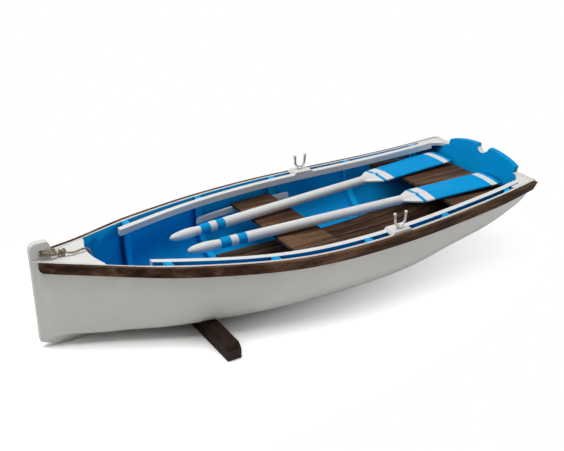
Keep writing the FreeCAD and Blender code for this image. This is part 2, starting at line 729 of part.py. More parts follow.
# The stern seat has a hollow forward edge and meets the transom
def build_stern_seat():
    low = seat_top - seat_thickness
    wide = half_beam + overrun
    plan_z = low
    curve = Part.Arc(Vector(along(seat_side_setback), -half_beam, plan_z),
                     Vector(along(seat_centre_setback), 0, plan_z),
                     Vector(along(seat_side_setback), half_beam, plan_z))
    back = along(boat_length + overrun)
    corners = [Vector(along(seat_side_setback), half_beam, plan_z), Vector(back, half_beam, plan_z),
               Vector(back, -half_beam, plan_z), Vector(along(seat_side_setback), -half_beam, plan_z)]
    edges = [curve.toShape()]
    edges += [Part.LineSegment(a, b).toShape() for a, b in zip(corners, corners[1:])]
    plan = Part.Face(Part.Wire(edges)).extrude(Vector(0, 0, seat_thickness))
    seat = inner.common(plan).cut(abaft_board)
    setback = boat_length * rib_setback_shares["stern"]
    stern_rib = slab(setback - rib_width / 2, setback + rib_width / 2, lowest, highest)
    seat = seat.cut(rib_ring.common(stern_rib))
    return largest(seat)


formed("stern_seat", build_stern_seat())

# Floorboards lie on the ribs and follow the rise of the bottom aft
above_boards = hull_solid(plank + board_thickness, on_ribs=True)
board_layer = behind_ribs.cut(above_boards)
board_zone = slab(board_setback, board_setback + board_length, 0, riser_top - riser_height)
board_layer = board_layer.common(board_zone)
pitch = board_width + board_gap
for side, name in side_names.items():
    for number in range(3):
        start = board_gap / 2 + number * pitch
        corner = Vector(-boat_length, start if side > 0 else -start - board_width, -overrun)
        strip = Part.makeBox(2 * boat_length, board_width, highest, corner)
        formed(f"floorboard_{name}_{number + 1}", largest(board_layer.common(strip)))

# Rowlock blocks fill the space between inwale and plank, with a pad over both, bored for the pins
block_top = sheer_height(rowlock_setback) + block_rise
pin_offset = sheer_breadth(rowlock_setback) - plank - rib_depth(rowlock_setback) / 2
block_front = rowlock_setback - block_length / 2
block_back = rowlock_setback + block_length / 2
block_zone = slab(block_front, block_back, block_top - block_height, block_top)
pad_zone = slab(block_front, block_back, block_top - pad_depth, block_top)
for side, name in side_names.items():
    block = inner.cut(behind_ribs).common(block_zone)
    pad = outer.cut(behind_inwales).common(pad_zone)
    block = one_side(block.fuse(pad).removeSplitter(), side).cut(plankings[name]).cut(inwales[name])
    for end, inward in ((block_front, block_slope), (block_back, -block_slope)):
        corner = [Vector(along(end), -half_beam, block_top),
                  Vector(along(end + inward), -half_beam, block_top),
                  Vector(along(end), -half_beam, block_top - block_rise)]
        block = block.cut(prism(corner, Vector(0, 2 * half_beam, 0)))
    bore = Part.makeCylinder(pin_radius + pin_clearance, block_height + overrun,
                             Vector(along(rowlock_setback), side * pin_offset,
                                    block_top - block_height - overrun / 2), Vector(0, 0, 1))
    formed(f"rowlock_block_{name}", largest(block.cut(bore)))


# A rowlock: a pin, a collar and a crutch of round section with a ball on each horn
def build_rowlock(side):
    x = along(rowlock_setback)
    y = side * pin_offset
    base = block_top + collar_gap
    up = Vector(0, 0, 1)
    pin = Part.makeCylinder(pin_radius, pin_length + collar_height, Vector(x, y, base - pin_length), up)
    collar = Part.makeCylinder(collar_radius, collar_height, Vector(x, y, base), up)
    middle_radius = horn_inner + horn_radius
    centre = base + collar_height + horn_seat + middle_radius
    hub = Vector(x, y, centre)
    lean = math.atan(horn_flare / horn_height)
    first = hub - Vector(math.cos(lean), 0, math.sin(lean)) * middle_radius
    ring = Part.Face(Part.Wire(Part.makeCircle(horn_radius, first, Vector(-math.sin(lean), 0, math.cos(lean)))))
    crutch = ring.revolve(hub, Vector(0, -1, 0), 180 - 2 * math.degrees(lean))
    parts = [pin, collar]
    for end in (1, -1):
        low = hub + Vector(end * math.cos(lean), 0, -math.sin(lean)) * middle_radius
        rise = Vector(end * math.sin(lean), 0, math.cos(lean))
        parts.append(Part.makeCylinder(horn_radius, horn_height, low, rise))
        parts.append(Part.makeSphere(horn_ball, low + rise * horn_height))
    return crutch.fuse(parts)


for side, name in side_names.items():
    formed(f"rowlock_{name}", largest(build_rowlock(side)))
crutch_centre = block_top + collar_gap + collar_height + horn_seat + horn_inner + horn_radius
print(f"pin at y {pin_offset:.4f}, block top {block_top:.4f}, crutch centre {crutch_centre:.4f}")
print(f"sheer at the stern {stern_sheer:.4f}")


# Swell of an oar's handle, as shares of its length and of its thickest radius
grip_swell_shares = [(0.22, 0.95), (0.45, 1), (0.75, 0.84), (0.93, 0.55)]


def lens(x, half, thickness, edge):
    """A blade's section across the oar: two bowed faces between thin edges."""
    corners = [Vector(x, -half, -edge / 2), Vector(x, half, -edge / 2),
               Vector(x, half, edge / 2), Vector(x, -half, edge / 2)]
    edges = [
        Part.Arc(corners[0], Vector(x, 0, -thickness / 2), corners[1]).toShape(),
        Part.LineSegment(corners[1], corners[2]).toShape(),
        Part.Arc(corners[2], Vector(x, 0, thickness / 2), corners[3]).toShape(),
        Part.LineSegment(corners[3], corners[0]).toShape(),
    ]
    return Part.Wire(edges)


# An oar along +X from its blade's tip, with its handle at the far end, lying at the origin
def build_oar():
    grip_start = oar_length - grip_length
    fade_start = blade_length - blade_fade
    outline = [
        Vector(fade_start, 0, 0),
        Vector(fade_start, 0, blade_thickness / 2),
        Vector(blade_length, 0, shaft_end_radius),
        Vector(grip_start - shaft_shoulder, 0, shaft_radius),
        Vector(grip_start, 0, grip_neck_radius),
    ]
    edges = [Part.LineSegment(a, b).toShape() for a, b in zip(outline, outline[1:])]
    swell = [Vector(grip_start + grip_length * run, 0, grip_radius * out) for run, out in grip_swell_shares]
    grip = Part.BSplineCurve()
    grip.interpolate([outline[-1]] + swell + [Vector(oar_length, 0, grip_end_radius)])
    end = Vector(oar_length, 0, 0)
    edges += [grip.toShape(), Part.LineSegment(Vector(oar_length, 0, grip_end_radius), end).toShape(),
              Part.LineSegment(end, outline[0]).toShape()]
    shaft = Part.Face(Part.Wire(edges)).revolve(Vector(0, 0, 0), Vector(1, 0, 0), 360)
    sections = [
        lens(0, blade_width / 2, blade_thickness, blade_edge),
        lens(blade_length - blade_flare, blade_root_width / 2, blade_thickness, blade_edge),
        lens(blade_length, shaft_end_radius - blade_edge / 2, blade_thickness, blade_edge),
    ]
    blade = Part.makeLoft(sections, True, True)
    return shaft.fuse(blade)


def lay_oar(name, grip_offset, tip_offset, tip_setback):
    """Lay an oar on the thwart and the stern seat, with its blade aft."""
    obj = formed(f"oar_{name}", largest(build_oar()))
    at_thwart = thwart_top + rest_clearance + shaft_radius
    at_seat = seat_top + rest_clearance + blade_thickness / 2
    rise = (at_thwart - at_seat) / (seat_centre_setback - thwart_setback)
    swing = math.atan2(grip_offset - tip_offset, oar_length)
    pitch_angle = math.atan(rise)
    tip_height = at_seat - rise * (tip_setback - seat_centre_setback)
    turn = Rotation(Vector(0, 0, 1), math.degrees(swing))
    tilt = Rotation(Vector(0, 1, 0), -math.degrees(pitch_angle))
    obj.Placement = Placement(Vector(along(tip_setback), tip_offset, tip_height), turn.multiply(tilt))
    return obj


lay_oar("port", port_grip_offset, port_tip_offset, port_tip_setback)
lay_oar("starboard", -starboard_grip_offset, -starboard_tip_offset, starboard_tip_setback)


# Stand bar: halved with the keel, hollowed to the hull's bottom, top corners chamfered
def build_bar():
    bar = slab(bar_setback, bar_setback + bar_width, 0, bar_height, bar_half_length)
    for side in (1, -1):
        end = side * bar_half_length
        corner = [
            Vector(-boat_length, end, bar_height),
            Vector(-boat_length, end - side * bar_chamfer, bar_height),
            Vector(-boat_length, end, bar_height - bar_chamfer),
        ]
        bar = bar.cut(prism(corner, Vector(2 * boat_length, 0, 0)))
    lap = slab(bar_setback - overrun, bar_setback + bar_width + overrun, lap_depth, bar_height, half_keel)
    return largest(bar.cut(outer).cut(lap))


formed("stand_bar", build_bar())

# Painter: a loop through the stem's hole, a knot, and the rope's run over the breasthook

def rounded_path(points):
    """Straight runs joined by tangent arcs, as large as the runs beside them allow."""
    edges = []
    start = points[0]
    for index in range(1, len(points) - 1):
        corner = points[index]
        back = points[index - 1] - corner
        ahead = points[index + 1] - corner
        turn = math.pi - back.getAngle(ahead)
        reach = min(back.Length, ahead.Length) * arc_share
        radius = reach / math.tan(turn / 2)
        print(f"painter bend {index}: radius {radius:.2f} mm, turn {math.degrees(turn):.0f} degrees")
        first = corner + back.normalize() * reach
        final = corner + ahead.normalize() * reach
        bisector = (back + ahead).normalize()
        middle_reach = radius / math.cos(turn / 2) - radius
        edges.append(Part.LineSegment(start, first).toShape())
        edges.append(Part.Arc(first, corner + bisector * middle_reach, final).toShape())
        start = final
    edges.append(Part.LineSegment(start, points[-1]).toShape())
    return Part.Wire(edges)


def cord_tube(points):
    """A cord's solid along its route, with its volume compared with section times length."""
    path = rounded_path(points)
    run = (points[1] - points[0]).normalize()
    ring = Part.Wire(Part.makeCircle(cord_radius, points[0], run))
    tube = path.makePipeShell([ring], True, True, 2)
    ideal = math.pi * cord_radius ** 2 * path.Length
    print(f"painter length {path.Length:.1f} mm, volume share {tube.Volume / ideal:.3f}")
    return tube


# Share of the shorter run that an arc takes on each side of its point
arc_share = 0.45
painter_route = [
    Vector(110.6, 1.0, 42.1),
    Vector(108.2, 1.1, 41.4),
    Vector(105.4, 0.0, 41.1),
    Vector(101.9, -1.3, 41.1),
    Vector(99.7, -1.6, 39.6),
    Vector(99.3, -1.2, 35.8),
    Vector(99.6, -0.4, 30.5),
    Vector(100.3, 0.4, 23.5),
    Vector(100.2, 0.8, 16.5),
    Vector(98.6, 0.8, 10.8),
    Vector(94.4, 0.2, 7.0),
    Vector(88.6, 0.6, 6.1),
    Vector(82.8, 2.2, 6.05),
    Vector(79.0, 5.4, 6.5),
]
loop_route = [
    Vector(114.6, 0.9, 43.0),
    Vector(117.4, 2.9, 43.9),
    Vector(120.9, 2.9, 44.6),
    Vector(120.9, -2.9, 44.6),
    Vector(117.4, -2.9, 43.9),
    Vector(114.6, -0.9, 43.0),
]
formed("painter", cord_tube(painter_route))
loop_lift = Vector(0, 0, loop_spread)
loops = [cord_tube([point + loop_lift * way for point in loop_route]) for way in (1, -1)]
formed("painter_loop", Part.makeCompound(loops))
knot = doc.addObject("Part::Ellipsoid", "Knot")
knot.setExpression("Radius1", "Sizes.knot_width / 2")
knot.setExpression("Radius2", "Sizes.knot_length / 2")
knot.setExpression("Radius3", "Sizes.knot_width / 2")
knot.Placement = Placement(Vector(along(knot_setback), knot_offset, knot_height), Rotation())
keep(knot, "painter_knot")

doc.recompute()
failed = [obj.Name for obj in doc.Objects if "Invalid" in obj.State or "Error" in obj.State]
for obj in sub_parts:
    if obj.Shape.isNull() or not obj.Shape.isValid():
        failed.append(obj.Label)
if failed:
    raise RuntimeError("failed: " + ", ".join(failed))

os.makedirs("parts", exist_ok=True)
for obj in sub_parts:
    obj.Shape.exportStep(os.path.join("parts", obj.Label + ".step"))
    box = obj.Shape.BoundBox
    print(f"{obj.Label}: {obj.Shape.Volume:.1f} mm3, {len(obj.Shape.Solids)} solid, "
          f"x {box.XMin:.1f} {box.XMax:.1f} y {box.YMin:.1f} {box.YMax:.1f} z {box.ZMin:.1f} {box.ZMax:.1f}")
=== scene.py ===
import json
import math
import bmesh
import bpy
from mathutils import Matrix, Quaternion, Vector


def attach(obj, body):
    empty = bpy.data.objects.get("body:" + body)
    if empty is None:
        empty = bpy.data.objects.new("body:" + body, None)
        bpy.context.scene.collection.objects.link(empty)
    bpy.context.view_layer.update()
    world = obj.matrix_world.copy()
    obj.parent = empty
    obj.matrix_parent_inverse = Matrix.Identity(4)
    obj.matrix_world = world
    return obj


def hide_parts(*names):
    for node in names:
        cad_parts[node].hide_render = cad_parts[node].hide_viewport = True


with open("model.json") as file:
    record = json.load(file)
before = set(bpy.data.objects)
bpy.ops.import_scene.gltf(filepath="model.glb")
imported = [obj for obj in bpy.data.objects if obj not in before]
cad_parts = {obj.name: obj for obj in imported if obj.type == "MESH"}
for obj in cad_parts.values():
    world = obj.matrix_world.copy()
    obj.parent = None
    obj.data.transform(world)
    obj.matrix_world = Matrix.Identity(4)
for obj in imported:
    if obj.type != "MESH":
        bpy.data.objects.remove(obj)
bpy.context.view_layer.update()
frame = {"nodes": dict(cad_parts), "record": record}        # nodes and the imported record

# Painted wooden scale model of a rowing boat, metres, +X to the bow, +Y to port
scene = bpy.context.scene
mm = 0.001
sides = {"port": 1, "starboard": -1}
record = frame["record"]
bodyOf = {node: body for body, group in record["behaviour"]["bodies"].items() for node in group}

# Camera, at the photograph's own viewing angle
photoCamera = {
    "place": (0.2020, 0.3254, 0.2085),
    "yaw": 31.24,         # degrees that the view turns from aft to starboard
    "pitch": 25.29,       # degrees below level
    "roll": 0.23,
    "sensor": 36,         # width in mm, as the lens is
    "lens": 55.69,
    "nearest": 0.01,
}


def makeCamera(setup):
    yaw = math.radians(setup["yaw"])
    pitch = math.radians(setup["pitch"])
    level = math.cos(pitch)
    look = Vector((-math.sin(yaw) * level, -math.cos(yaw) * level, -math.sin(pitch)))
    right = Vector((-math.cos(yaw), math.sin(yaw), 0))
    up = (-look).cross(right)
    turn = Matrix((right, up, -look)).transposed().to_4x4()
    roll = Matrix.Rotation(math.radians(setup["roll"]), 4, "Z")
    camera = bpy.data.objects.new("photoCamera", bpy.data.cameras.new("photoCamera"))
    camera.data.sensor_width = setup["sensor"]
    camera.data.lens = setup["lens"]
    camera.data.clip_start = setup["nearest"]
    camera.matrix_world = Matrix.Translation(setup["place"]) @ turn @ roll
    scene.collection.objects.link(camera)
    scene.camera = camera


makeCamera(photoCamera)
print("camera set")

# Sockets of a Mix node that mixes colours
mixInputs = (6, 7)
mixed = 2


# The node tree of one finish on Object coordinates, with short calls for the nodes that it uses
class Finish:
    def __init__(self, name):
        self.material = bpy.data.materials.new(name)
        self.material.use_nodes = True
        self.tree = self.material.node_tree
        self.tree.nodes.clear()
        self.output = self.add("OutputMaterial")
        self.shader = self.add("BsdfPrincipled")
        self.join(self.shader, "BSDF", self.output, "Surface")
        self.place = self.add("TexCoord")

    def add(self, kind, **settings):
        node = self.tree.nodes.new("ShaderNode" + kind)
        for key, value in settings.items():
            setattr(node, key, value)
        return node

    def join(self, source, exit, target, entry):
        self.tree.links.new(source.outputs[exit], target.inputs[entry])
        return target

    # Constants on the shader's own sockets
    def constants(self, **values):
        for key, value in values.items():
            self.shader.inputs[key.replace("_", " ")].default_value = value

    # Noise; scale is repeats per metre along X, Y and Z
    def noise(self, scale, detail, rough=0.5, distortion=0.0, shift=None):
        mapping = self.add("Mapping")
        mapping.inputs["Scale"].default_value = scale
        source, exit = (shift, "Vector") if shift else (self.place, "Object")
        self.join(source, exit, mapping, "Vector")
        noise = self.add("TexNoise")
        noise.inputs["Scale"].default_value = 1
        noise.inputs["Detail"].default_value = detail
        noise.inputs["Roughness"].default_value = rough
        noise.inputs["Distortion"].default_value = distortion
        return self.join(mapping, "Vector", noise, "Vector")

    def ramp(self, source, exit, stops):
        ramp = self.add("ValToRGB")
        elements = ramp.color_ramp.elements
        while len(elements) < len(stops):
            elements.new(stops[0][0])
        for element, (at, color) in zip(elements, stops):
            element.position = at
            element.color = (*color, 1)
        return self.join(source, exit, ramp, "Fac")

    # A value's span from fromLow to fromHigh turned to the one from low to high
    def range(self, source, exit, low, high, fromLow=0.3, fromHigh=0.7):
        span = self.add("MapRange")
        ends = {"From Min": fromLow, "From Max": fromHigh, "To Min": low, "To Max": high}
        for key, value in ends.items():
            span.inputs[key].default_value = value
        return self.join(source, exit, span, "Value")

    # Two colours, each a (node, exit) pair or a constant; factor is a pair or a number
    def mix(self, first, second, factor, blend="MIX"):
        mixer = self.add("Mix", data_type="RGBA", blend_type=blend)
        for pair, entry in zip((first, second), mixInputs):
            if isinstance(pair[0], (int, float)):
                mixer.inputs[entry].default_value = (*pair, 1)
            else:
                self.join(pair[0], pair[1], mixer, entry)
        if isinstance(factor, tuple):
            self.join(factor[0], factor[1], mixer, 0)
        else:
            mixer.inputs[0].default_value = factor
        return mixer

    # Bump of the given height in metres, on top of another one if there is one before
    def bump(self, source, exit, height, strength, before=None):
        bump = self.add("Bump")
        bump.inputs["Distance"].default_value = height
        bump.inputs["Strength"].default_value = strength
        self.join(source, exit, bump, "Height")
        if before:
            self.join(before, "Normal", bump, "Normal")
        return bump


# Brushed satin paint over wood: a little uneven in colour and gloss, with faint brush marks
paintFilm = {
    "cloud": {"scale": (70, 70, 70), "detail": 4},
    "cloudEnds": (0.35, 0.65),
    "patch": {"scale": (160, 160, 160), "detail": 5, "rough": 0.6},
    "smoother": 0.06,         # how far the roughness falls and rises
    "rougher": 0.09,
    "brush": {"scale": (90, 1500, 1500), "detail": 3, "rough": 0.55},
    "brushHeight": 0.016 * mm,
    "brushStrength": 0.8,
    "peel": {"scale": (1300, 1300, 1300), "detail": 2},
    "peelHeight": 0.01 * mm,
    "peelStrength": 0.5,
    "recessShadeSamples": 8,
}


def paint(name, color, shade, roughness=0.45, shine=0.05, recessShade=None):
    finish = Finish(name)
    cloud = finish.noise(**paintFilm["cloud"])
    tint = finish.ramp(cloud, "Fac", list(zip(paintFilm["cloudEnds"], (shade, color))))
    # Painted shade: the colour darkens where other surfaces come near, as in narrow recesses
    if recessShade:
        aoShade = finish.add("AmbientOcclusion", samples=paintFilm["recessShadeSamples"])
        aoShade.inputs["Distance"].default_value = recessShade["reach"]
        depth = finish.range(aoShade, "AO", recessShade["low"], 1, recessShade["from"], recessShade["to"])
        tint = finish.mix((0, 0, 0), (tint, "Color"), (depth, "Result"))
    finish.join(tint, mixed if recessShade else "Color", finish.shader, "Base Color")
    patch = finish.noise(**paintFilm["patch"])
    gloss = finish.range(patch, "Fac", roughness - paintFilm["smoother"], roughness + paintFilm["rougher"])
    finish.join(gloss, "Result", finish.shader, "Roughness")
    brush = finish.noise(**paintFilm["brush"])
    peel = finish.noise(**paintFilm["peel"])
    marks = finish.bump(brush, "Fac", paintFilm["brushHeight"], paintFilm["brushStrength"])
    marks = finish.bump(peel, "Fac", paintFilm["peelHeight"], paintFilm["peelStrength"], before=marks)
    finish.join(marks, "Normal", finish.shader, "Normal")
    finish.constants(Specular_IOR_Level=shine)
    return finish.material


# Oiled open-grained wood: broad bands, fine streaks and short dark pores along the grain
woodGrain = {
    "band": {"length": 55 * mm, "across": 4.2 * mm, "detail": 3, "rough": 0.55, "distortion": 0.6},
    "streak": {"length": 22 * mm, "across": 0.9 * mm, "detail": 5, "rough": 0.65, "distortion": 0.3},
    "pore": {"length": 4.5 * mm, "across": 0.22 * mm, "detail": 2, "rough": 0.5, "distortion": 0.0},
    "bandStops": (0.3, 0.5, 0.72),
    "streakStops": [(0.3, (0.42, 0.4, 0.38)), (0.55, (1, 1, 1)), (0.75, (1.25, 1.2, 1.12))],
    "streakShare": 0.8,
    "poreStops": [(0.34, (0.3, 0.27, 0.25)), (0.44, (1, 1, 1))],
    "poreShare": 0.75,
    "rougher": 0.12,          # how far the roughness rises in a dark streak and falls in a light one
    "smoother": 0.08,
    "streakHeight": 0.03 * mm,
    "streakStrength": 0.8,
    "poreHeight": 0.024 * mm,
    "poreStrength": 0.9,
    "shine": 0.08,
}


def timber(name, dark, middle, light, along="X", roughness=0.55):
    finish = Finish(name)
    offset = finish.add("Attribute", attribute_name="grainShift")
    shifted = finish.add("VectorMath", operation="ADD")
    finish.join(finish.place, "Object", shifted, 0)
    finish.join(offset, "Vector", shifted, 1)

    def stretched(length, across, **pattern):
        run, width = 1 / length, 1 / across
        scale = (run, width, width) if along == "X" else (width, run, width)
        return finish.noise(scale, shift=shifted, **pattern)

    band = stretched(**woodGrain["band"])
    streak = stretched(**woodGrain["streak"])
    pore = stretched(**woodGrain["pore"])
    base = finish.ramp(band, "Fac", list(zip(woodGrain["bandStops"], (dark, middle, light))))
    fine = finish.ramp(streak, "Fac", woodGrain["streakStops"])
    pores = finish.ramp(pore, "Fac", woodGrain["poreStops"])
    color = finish.mix((base, "Color"), (fine, "Color"), woodGrain["streakShare"], blend="MULTIPLY")
    color = finish.mix((color, mixed), (pores, "Color"), woodGrain["poreShare"], blend="MULTIPLY")
    finish.join(color, mixed, finish.shader, "Base Color")
    gloss = finish.range(streak, "Fac", roughness + woodGrain["rougher"], roughness - woodGrain["smoother"])
    finish.join(gloss, "Result", finish.shader, "Roughness")
    relief = finish.bump(streak, "Fac", woodGrain["streakHeight"], woodGrain["streakStrength"])
    relief = finish.bump(pores, "Color", woodGrain["poreHeight"], woodGrain["poreStrength"], before=relief)
    finish.join(relief, "Normal", finish.shader, "Normal")
    finish.constants(Specular_IOR_Level=woodGrain["shine"])
    return finish.material


# Rough-cast white metal, tumbled bright with dull pits
castSkin = {
    "patch": {"scale": (900, 900, 900), "detail": 4, "rough": 0.6},
    "patchEnds": (0.36, 0.6),
    "dullRoughness": 0.5,
    "brightRoughness": 0.28,
    "cast": {"scale": (2600, 2600, 2600), "detail": 3},
    "castHeight": 0.05 * mm,
    "castStrength": 0.7,
    "patchHeight": 0.08 * mm,
    "patchStrength": 0.5,
}


def castMetal(name, color, dull):
    finish = Finish(name)
    finish.constants(Metallic=1)
    patch = finish.noise(**castSkin["patch"])
    tint = finish.ramp(patch, "Fac", list(zip(castSkin["patchEnds"], (dull, color))))
    finish.join(tint, "Color", finish.shader, "Base Color")
    gloss = finish.range(patch, "Fac", castSkin["dullRoughness"], castSkin["brightRoughness"])
    finish.join(gloss, "Result", finish.shader, "Roughness")
    cast = finish.noise(**castSkin["cast"])
    relief = finish.bump(cast, "Fac", castSkin["castHeight"], castSkin["castStrength"])
    relief = finish.bump(patch, "Fac", castSkin["patchHeight"], castSkin["patchStrength"], before=relief)
    finish.join(relief, "Normal", finish.shader, "Normal")
    return finish.material


# Tan cotton yarn with fine fibres along each ply
yarn = {
    "fibre": {"scale": (2200, 7000, 7000), "detail": 4, "rough": 0.6, "distortion": 0.8},
    "fibreEnds": (0.3, 0.65),
    "fibreHeight": 0.06 * mm,
    "fibreStrength": 0.9,
}


def twine(name, color, shade):
    finish = Finish(name)
    fibre = finish.noise(**yarn["fibre"])
    tint = finish.ramp(fibre, "Fac", list(zip(yarn["fibreEnds"], (shade, color))))
    finish.join(tint, "Color", finish.shader, "Base Color")
    finish.constants(Roughness=0.85, Sheen_Weight=0.25, Sheen_Roughness=0.5)
    relief = finish.bump(fibre, "Fac", yarn["fibreHeight"], yarn["fibreStrength"])
    finish.join(relief, "Normal", finish.shader, "Normal")
    return finish.material


# Painted shade: blue darkens in narrow places, such as between planks and inwales, where other surfaces
# come near
paintedRecessShade = {"reach": 5 * mm, "low": 0.18, "from": 0.25, "to": 0.75}

whitePaint = paint("whitePaint", (0.80, 0.80, 0.785), (0.76, 0.76, 0.745), shine=0.3)
hullPaint = paint("hullPaint", (0.73, 0.725, 0.70), (0.70, 0.695, 0.67), roughness=0.42, shine=0.3)
bluePaint = paint("bluePaint", (0.001, 0.33, 0.74), (0.001, 0.30, 0.69), recessShade=paintedRecessShade)
# The ribs' lighter blue is partly white mixed into the paint at their heads and partly a painted highlight
# for the light their faces catch
ribPaint = paint("ribPaint", (0.004, 0.43, 0.86), (0.004, 0.40, 0.82))
stripePaint = paint("stripePaint", (0.002, 0.33, 0.73), (0.002, 0.31, 0.69))
walnut = timber("walnut", (0.028, 0.012, 0.006), (0.100, 0.051, 0.028), (0.225, 0.127, 0.072))
boardWalnut = timber("boardWalnut", (0.024, 0.011, 0.007), (0.086, 0.045, 0.026),
                     (0.178, 0.102, 0.060))
railWalnut = timber("railWalnut", (0.022, 0.009, 0.005), (0.078, 0.038, 0.020),
                    (0.180, 0.101, 0.058))
darkWalnut = timber("darkWalnut", (0.010, 0.005, 0.004), (0.023, 0.012, 0.009),
                    (0.045, 0.026, 0.019), along="Y", roughness=0.5)
endGrain = timber("endGrain", (0.035, 0.022, 0.017), (0.062, 0.042, 0.033),
                  (0.10, 0.072, 0.057), along="Y", roughness=0.6)
rowlockMetal = castMetal("rowlockMetal", (0.72, 0.71, 0.68), (0.42, 0.41, 0.39))
tanTwine = twine("tanTwine", (0.46, 0.36, 0.235), (0.2, 0.145, 0.09))
print("finishes made")


# The piece rides with its node's body and stands for it
def standFor(piece, node):
    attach(piece, bodyOf[node])
    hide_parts(node)
    return piece


# Painter: a rope through the stem's hole, a knot, and the run over the breasthook into the bow
painter = {
    "radius": 0.55 * mm,
    "plies": 2,
    "plyShare": 0.54,       # ply radius as a share of the rope's
    "lay": 3.4 * mm,        # length of one turn of the plies
    "laySteps": 14,
    "roundness": 2,
    "length": 63.0 * mm,
    "splineOrder": 3,
    "splineSteps": 10,
    "loopLift": 0.6 * mm,
    "knotAt": (112.6 * mm, 0.6 * mm, 42.7 * mm),
    "knotSize": (1.75 * mm, 1.05 * mm, 1.15 * mm),
    "knotSteps": 36,
    "route": [
        (0.1106, 0.0010, 0.0421), (0.1082, 0.0011, 0.0414), (0.1054, 0.0, 0.0411),
        (0.1019, -0.0013, 0.0411), (0.0997, -0.0016, 0.0396), (0.0993, -0.0012, 0.0358),
        (0.0996, -0.0004, 0.0305), (0.1003, 0.0004, 0.0235), (0.1002, 0.0008, 0.0165),
        (0.0986, 0.0008, 0.0108), (0.0944, 0.0002, 0.0070), (0.0886, 0.0006, 0.0061),
        (0.0828, 0.0022, 0.00605), (0.0790, 0.0054, 0.0065),
    ],
    "loopRoute": [
        (0.1146, 0.0009, 0.0430), (0.1174, 0.0029, 0.0439), (0.1209, 0.0029, 0.0446),
        (0.1209, -0.0029, 0.0446), (0.1174, -0.0029, 0.0439), (0.1146, -0.0009, 0.0430),
    ],
}


# The mesh of a curve, which is removed
def meshOf(curve):
    holder = bpy.data.objects.new(curve.name, curve)
    mesh = bpy.data.meshes.new_from_object(holder)
    bpy.data.objects.remove(holder)
    bpy.data.curves.remove(curve)
    return mesh


# Points along the smooth spline that has the route's points as its control points
def splineLine(route, rope):
    curve = bpy.data.curves.new("routeLine", "CURVE")
    curve.dimensions = "3D"
    spline = curve.splines.new("NURBS")
    spline.points.add(len(route) - 1)
    for point, place in zip(spline.points, route):
        point.co = (*place, 1)
    spline.order_u = rope["splineOrder"]
    spline.use_endpoint_u = True
    spline.resolution_u = rope["splineSteps"]
    mesh = meshOf(curve)
    line = [vertex.co.copy() for vertex in mesh.vertices]
    bpy.data.meshes.remove(mesh)
    return line


# Points a step apart along a line of points
def evenly(line, step):
    walked = [line[0].copy()]
    spare = 0.0
    for before, after in zip(line, line[1:]):
        run = (after - before).length
        reach = step - spare
        while reach <= run:
            walked.append(before.lerp(after, reach / run))
            reach += step
        spare = run - (reach - step)
    walked.append(line[-1].copy())
    return walked


# A piece of plies that wind round a line of points
def laidRope(name, line, rope):
    step = rope["lay"] / rope["laySteps"]
    centres = evenly(line, step)
    curve = bpy.data.curves.new(name, "CURVE")
    curve.dimensions = "3D"
    curve.bevel_depth = rope["radius"] * rope["plyShare"]
    curve.bevel_resolution = rope["roundness"]
    curve.use_fill_caps = True
    heading = (centres[1] - centres[0]).normalized()
    side = heading.orthogonal().normalized()
    arms = []
    for index, centre in enumerate(centres):
        ahead = centres[min(index + 1, len(centres) - 1)] - centres[max(index - 1, 0)]
        ahead.normalize()
        side = (heading.rotation_difference(ahead) @ side).normalized()
        heading = ahead
        arms.append((centre, ahead, side.copy()))
    reach = rope["radius"] * (1 - rope["plyShare"])
    for ply in range(rope["plies"]):
        spline = curve.splines.new("POLY")
        spline.points.add(len(arms) - 1)
        for index, (centre, ahead, arm) in enumerate(arms):
            angle = math.tau * (index * step / rope["lay"] + ply / rope["plies"])
            place = centre + Quaternion(ahead, angle) @ arm * reach
            spline.points[index].co = (*place, 1)
    mesh = meshOf(curve)
    mesh.name = name
    mesh.materials.clear()
    mesh.materials.append(tanTwine)
    mesh.shade_smooth()
    piece = bpy.data.objects.new(name, mesh)
    scene.collection.objects.link(piece)
    return piece


# One object from several, all at the origin
def joined(name, pieces):
    whole = bmesh.new()
    for piece in pieces:
        whole.from_mesh(piece.data)
    mesh = bpy.data.meshes.new(name)
    whole.to_mesh(mesh)
    whole.free()
    mesh.materials.append(pieces[0].data.materials[0])
    mesh.shade_smooth()
    for piece in pieces:
        bpy.data.objects.remove(piece)
    result = bpy.data.objects.new(name, mesh)
    scene.collection.objects.link(result)
    return result


# A small overhand knot drawn tight, on a trefoil's line
def makeKnot(rope):
    centre = Vector(rope["knotAt"])
    size = rope["knotSize"]
    turns = []
    for index in range(rope["knotSteps"]):
        t = math.tau * index / rope["knotSteps"]
        local = Vector(((math.sin(t) + 2 * math.sin(2 * t)) / 3 * size[0],
                        (math.cos(t) - 2 * math.cos(2 * t)) / 3 * size[1],
                        -math.sin(3 * t) * size[2]))
        turns.append(centre + local)
    turns.append(turns[0].copy())
    return laidRope("painterKnot", turns, rope)


def makePainter(rope):
    line = splineLine(rope["route"], rope)
    tail = laidRope("painterRope", line, rope)
    turns = []
    for way in (1, -1):
        lift = Vector((0, 0, rope["loopLift"] * way))
        turn = [point + lift for point in splineLine(rope["loopRoute"], rope)]
        turns.append(laidRope("painterTurn", turn, rope))
    loop = joined("painterLoop", turns)
    knot = makeKnot(rope)
    standFor(tail, "painter")
    standFor(loop, "painter_loop")
    standFor(knot, "painter_knot")


makePainter(painter)
print("painter laid")

# Copies of the CAD pieces, with rounded edges and their own finishes
copies = {
    "merge": 0.002 * mm,      # corners nearer than this are one
    "onPlane": 1e-7,
    "flatAngle": 0.3,         # degrees: faces flatter than this to each other become one
    "pairAngle": 4,           # and two triangles that are flatter than this become a quad
    "pairShape": 50,
    "sharpAngle": 35,         # edges sharper than this are rounded
    "shadeAngle": 42,         # and edges still sharper than this are shaded as sharp
    "roundSteps": 2,
    "noseSteps": 4,
    "noseReach": 0.7,         # shares of the nose's radius
    "noseTilt": 0.2,
    "noseAngle": 1,           # in radians
}


